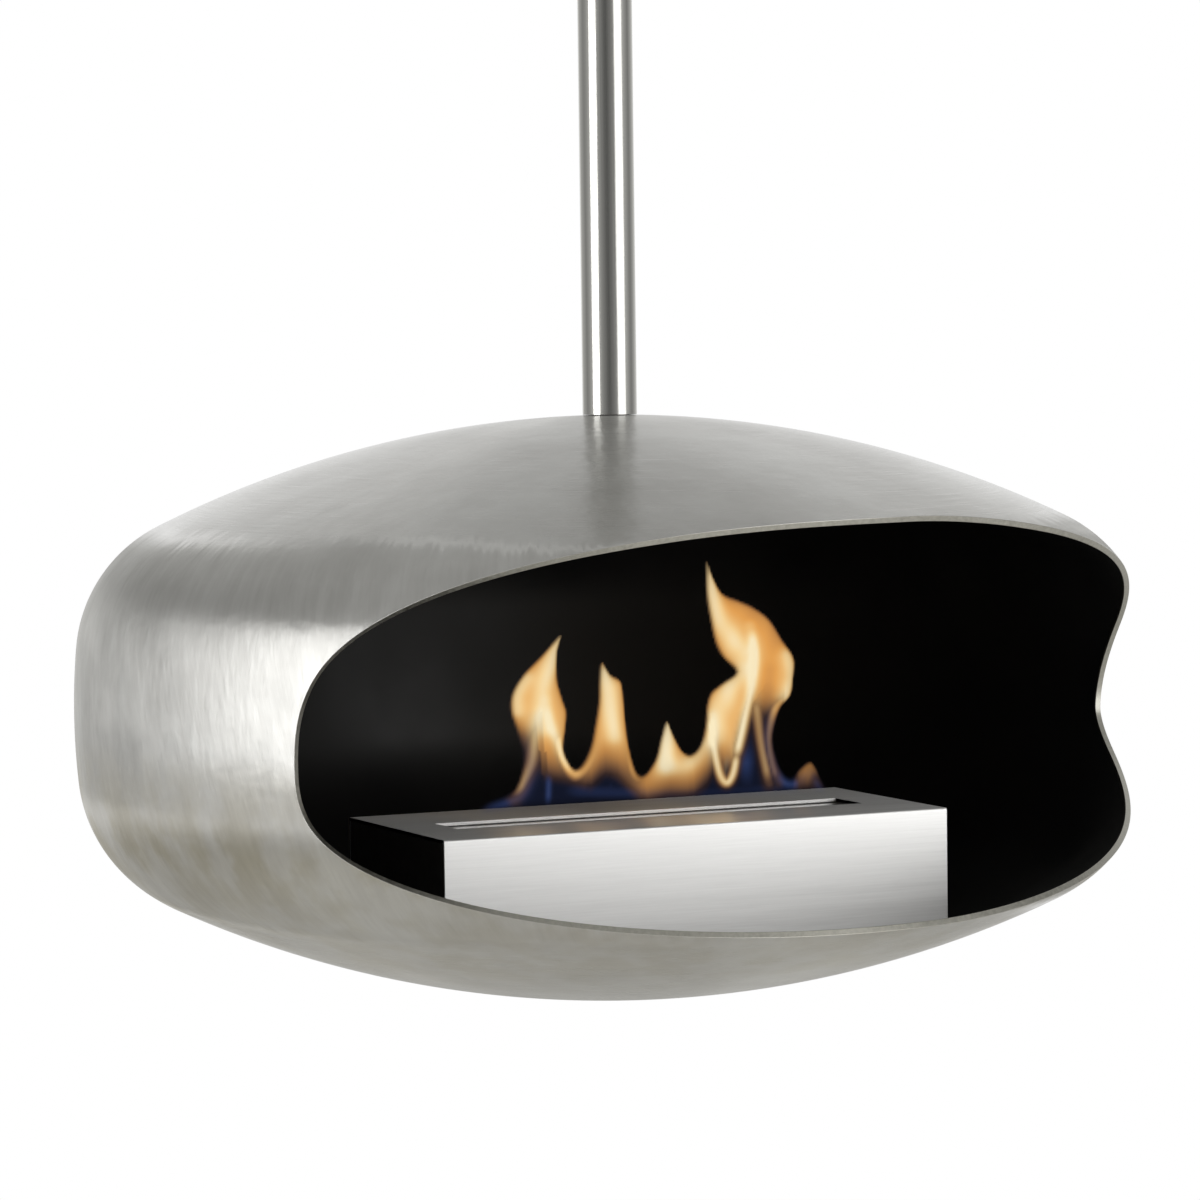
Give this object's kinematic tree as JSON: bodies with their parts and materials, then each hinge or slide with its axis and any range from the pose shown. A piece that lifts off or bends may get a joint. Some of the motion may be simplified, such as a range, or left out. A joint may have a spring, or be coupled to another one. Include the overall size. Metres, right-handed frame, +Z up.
{
  "type": "hanging fireplace",
  "caption": "Flattened round steel fireplace hung from the ceiling on a pole, with a wide side opening and a slotted liquid-fuel burner inside.",
  "frame": {"origin": "centre of the ceiling plate top face, on the pole axis", "axes": "+Z up along the pole; the burner front faces -Y; +X to the right seen from the front"},
  "size_m": [1, 0.927, 1.598],
  "materials": {
    "polished_steel": "hand-polished, with fine scratches",
    "brushed_steel": "brushed",
    "burner_steel": "brushed lengthwise",
    "cut_edge": "ground edge",
    "black_lining": "matt black heat-proof paint",
    "dark_steel": "dulled",
    "plain_steel": "turned or plated",
    "wool": "pressed mineral wool"
  },
  "bodies": {
    "ceiling_mount": {"ceiling_plate": "plain_steel", "spindle": "plain_steel", "thrust_washer": "plain_steel", "spindle_nut": "plain_steel", "ceiling_cover": "brushed_steel", "cover_screw_1": "plain_steel", "cover_screw_2": "plain_steel", "cover_screw_3": "plain_steel"},
    "fireplace": {"pole_tube": "brushed_steel", "pole_hub": "plain_steel", "hub_screw_1": "plain_steel", "hub_screw_2": "plain_steel", "hub_screw_3": "plain_steel", "pole_plug": "plain_steel", "outer_shell": "polished_steel", "inner_liner": "black_lining", "rim_band": "cut_edge", "crown_spacer": "plain_steel", "crown_plate": "black_lining", "crown_bolt_1": "plain_steel", "crown_bolt_2": "plain_steel", "crown_bolt_3": "plain_steel", "cradle_rail_left": "black_lining", "cradle_rail_right": "black_lining"},
    "burner": {"burner_casing": "burner_steel", "burner_end_left": "dark_steel", "burner_end_right": "dark_steel", "burner_base": "dark_steel", "fuel_tank": "dark_steel", "wool_pad": "wool", "shutter_guide_left": "plain_steel", "shutter_guide_right": "plain_steel"},
    "shutter": {"shutter": "burner_steel"}
  },
  "joints": [
    {"name": "pole_swivel", "type": "hinge", "parent": "ceiling_mount", "child": "fireplace", "pos_m": [0, 0, -0.04], "axis": [0, 0, 1], "continuous": true},
    {"name": "burner_lift_out", "type": "slide", "parent": "fireplace", "child": "burner", "axis": [0, -0.9397, 0.342], "range_m": [0, 0.62]},
    {"name": "shutter_slide", "type": "slide", "parent": "burner", "child": "shutter", "axis": [0, -1, 0], "range_m": [0, 0.055]}
  ]
}
